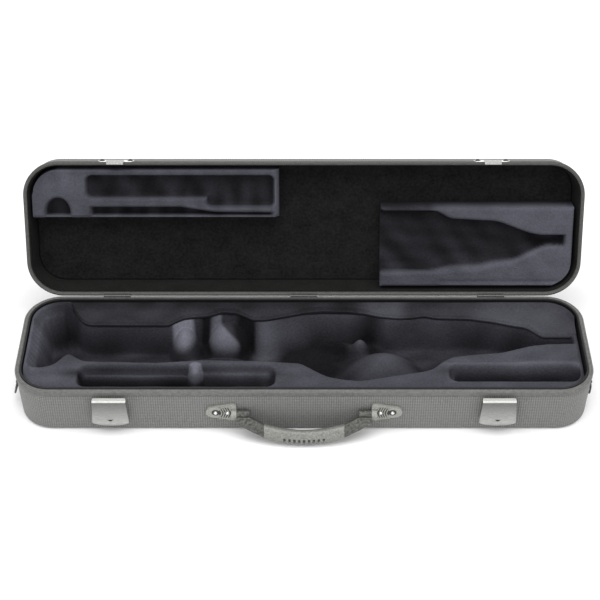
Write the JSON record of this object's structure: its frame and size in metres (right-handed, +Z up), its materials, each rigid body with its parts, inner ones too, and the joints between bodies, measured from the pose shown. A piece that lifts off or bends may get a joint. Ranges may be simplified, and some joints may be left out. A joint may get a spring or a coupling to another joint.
{
  "type": "soprano saxophone case",
  "caption": "Long hinged instrument case, shown open, with a fitted velvet tray, sprung latches, a carrying handle and strap rings.",
  "frame": {"origin": "centre of the base's flat bottom face", "axes": "+X along the case, to the right as seen from the handle side; +Y from the handle side to the hinges; +Z up"},
  "size_m": [0.6915, 0.2933, 0.2322],
  "materials": {
    "woven_cover": "mid-grey plain weave cloth glued over the shell",
    "black_plastic": "black extruded lip",
    "tray_velvet": "blue-grey velvet over foam",
    "lining_cloth": "greenish grey brushed lining cloth",
    "board_velvet": "black plush on board",
    "dark_steel": "black painted pressed steel",
    "plain_steel": "plain drawn wire",
    "bright_plate": "bright nickel plated pressing",
    "satin_plate": "satin pressed sheet with bright edges",
    "mount_plastic": "grey moulded mount with a chevron grain",
    "strap_plastic": "dark grey moulded end",
    "grip_plastic": "light grey moulded grip",
    "black_steel": "black wire and sheet"
  },
  "bodies": {
    "base": {"base_hinge_leaves": "dark_steel", "base_hinge_rivets": "plain_steel", "base_lip": "black_plastic", "base_shell": "woven_cover", "handle_mount_left": "mount_plastic", "handle_mount_right": "mount_plastic", "handle_mount_rivets": "bright_plate", "handle_pin_left": "plain_steel", "handle_pin_right": "plain_steel", "hinge_pins": "plain_steel", "latch_base_left": "dark_steel", "latch_base_right": "dark_steel", "latch_pin_left": "plain_steel", "latch_pin_right": "plain_steel", "latch_spring_left": "plain_steel", "latch_spring_right": "plain_steel", "ring_bracket_left": "black_steel", "ring_bracket_right": "black_steel", "ring_bracket_rivets_left": "black_steel", "ring_bracket_rivets_right": "black_steel", "tray_back_left": "tray_velvet", "tray_back_right": "tray_velvet", "tray_bell_end": "tray_velvet", "tray_floor": "tray_velvet", "tray_front_left": "tray_velvet", "tray_front_right": "tray_velvet", "tray_neck_end": "tray_velvet", "tray_rest_front": "tray_velvet", "tray_rest_left": "tray_velvet", "tray_rest_middle": "tray_velvet", "tray_rest_right": "tray_velvet"},
    "lid": {"lid_shell": "woven_cover", "lid_wall_lining": "lining_cloth", "lid_board": "board_velvet", "lid_block_left": "tray_velvet", "lid_block_right": "tray_velvet", "lid_hinge_leaves": "dark_steel", "lid_hinge_rivets": "plain_steel", "catch_left": "bright_plate", "catch_right": "bright_plate", "catch_rivets": "bright_plate"},
    "left_latch": {"latch_plate_left": "satin_plate"},
    "right_latch": {"latch_plate_right": "satin_plate"},
    "handle": {"handle_grip": "grip_plastic", "handle_end_left": "strap_plastic", "handle_end_right": "strap_plastic"},
    "left_ring": {"strap_ring_left": "black_steel"},
    "right_ring": {"strap_ring_right": "black_steel"}
  },
  "joints": [
    {"name": "lid_hinge", "type": "hinge", "parent": "base", "child": "lid", "pos_m": [0, 0.0856, 0.064], "axis": [1, 0, 0], "range_deg": [0, 111]},
    {"name": "left_latch_press", "type": "hinge", "parent": "base", "child": "left_latch", "pos_m": [-0.2265, -0.08842, 0.03881], "axis": [1, 0, 0], "range_deg": [0, 14], "stiffness_Nm_per_rad": 0.4},
    {"name": "right_latch_press", "type": "hinge", "parent": "base", "child": "right_latch", "pos_m": [0.2265, -0.08842, 0.03881], "axis": [1, 0, 0], "range_deg": [0, 14], "stiffness_Nm_per_rad": 0.4},
    {"name": "handle_swing", "type": "hinge", "parent": "base", "child": "handle", "pos_m": [0, -0.0887, 0.03179], "axis": [-1, 0, 0], "range_deg": [0, 110]},
    {"name": "left_ring_swing", "type": "hinge", "parent": "base", "child": "left_ring", "pos_m": [-0.34144, -0.029, 0.0329], "axis": [0, 1, 0], "range_deg": [-17, 150]},
    {"name": "right_ring_swing", "type": "hinge", "parent": "base", "child": "right_ring", "pos_m": [0.34144, -0.029, 0.0329], "axis": [0, -1, 0], "range_deg": [0, 167]}
  ]
}
